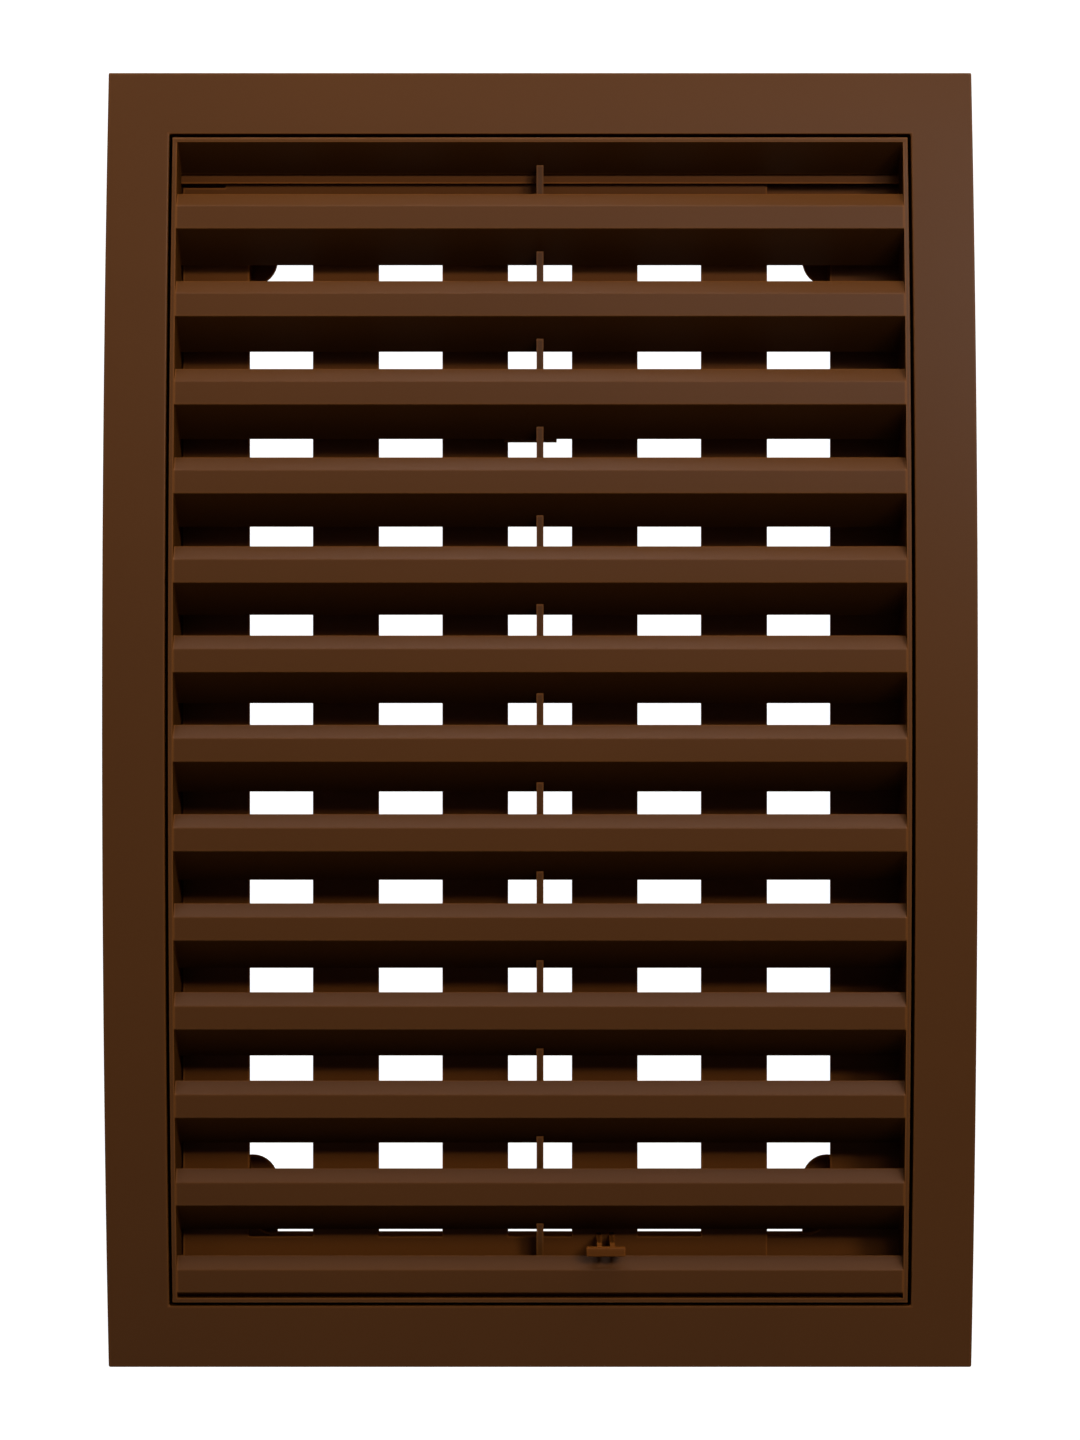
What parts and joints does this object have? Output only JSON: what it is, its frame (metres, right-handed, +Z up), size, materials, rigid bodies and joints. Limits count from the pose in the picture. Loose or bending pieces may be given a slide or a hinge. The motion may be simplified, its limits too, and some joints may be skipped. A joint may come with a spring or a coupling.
{
  "type": "adjustable vent grille",
  "caption": "Rectangular bow-front vent grille with fixed louvre blades, a lift-out insert, and a sliding shutter with a small knob over a windowed rear lattice.",
  "frame": {"origin": "centre of the wall plane that the rear rim lies on", "axes": "+Z up, +X to the right as seen from the room, the bowed front faces -Y"},
  "size_m": [0.2, 0.034, 0.3],
  "materials": {
    "frame_plastic": "satin brown",
    "insert_plastic": "satin brown",
    "inner_plastic": "satin brown"
  },
  "bodies": {
    "frame": {"mounting_frame": "frame_plastic", "rear_lattice": "inner_plastic", "top_guide_rail": "inner_plastic", "bottom_guide_rail": "inner_plastic"},
    "shutter": {"shutter_plate": "inner_plastic", "shutter_knob": "inner_plastic"},
    "grille": {"grille_rim": "insert_plastic", "centre_rib": "insert_plastic", "blade_01": "insert_plastic", "blade_02": "insert_plastic", "blade_03": "insert_plastic", "blade_04": "insert_plastic", "blade_05": "insert_plastic", "blade_06": "insert_plastic", "blade_07": "insert_plastic", "blade_08": "insert_plastic", "blade_09": "insert_plastic", "blade_10": "insert_plastic", "blade_11": "insert_plastic", "blade_12": "insert_plastic", "blade_13": "insert_plastic"}
  },
  "joints": [
    {"name": "shutter_slide", "type": "slide", "parent": "frame", "child": "shutter", "axis": [1, 0, 0], "range_m": [0, 0.0152]},
    {"name": "grille_pull", "type": "slide", "parent": "frame", "child": "grille", "axis": [0, -1, 0], "range_m": [0, 0.045]}
  ]
}
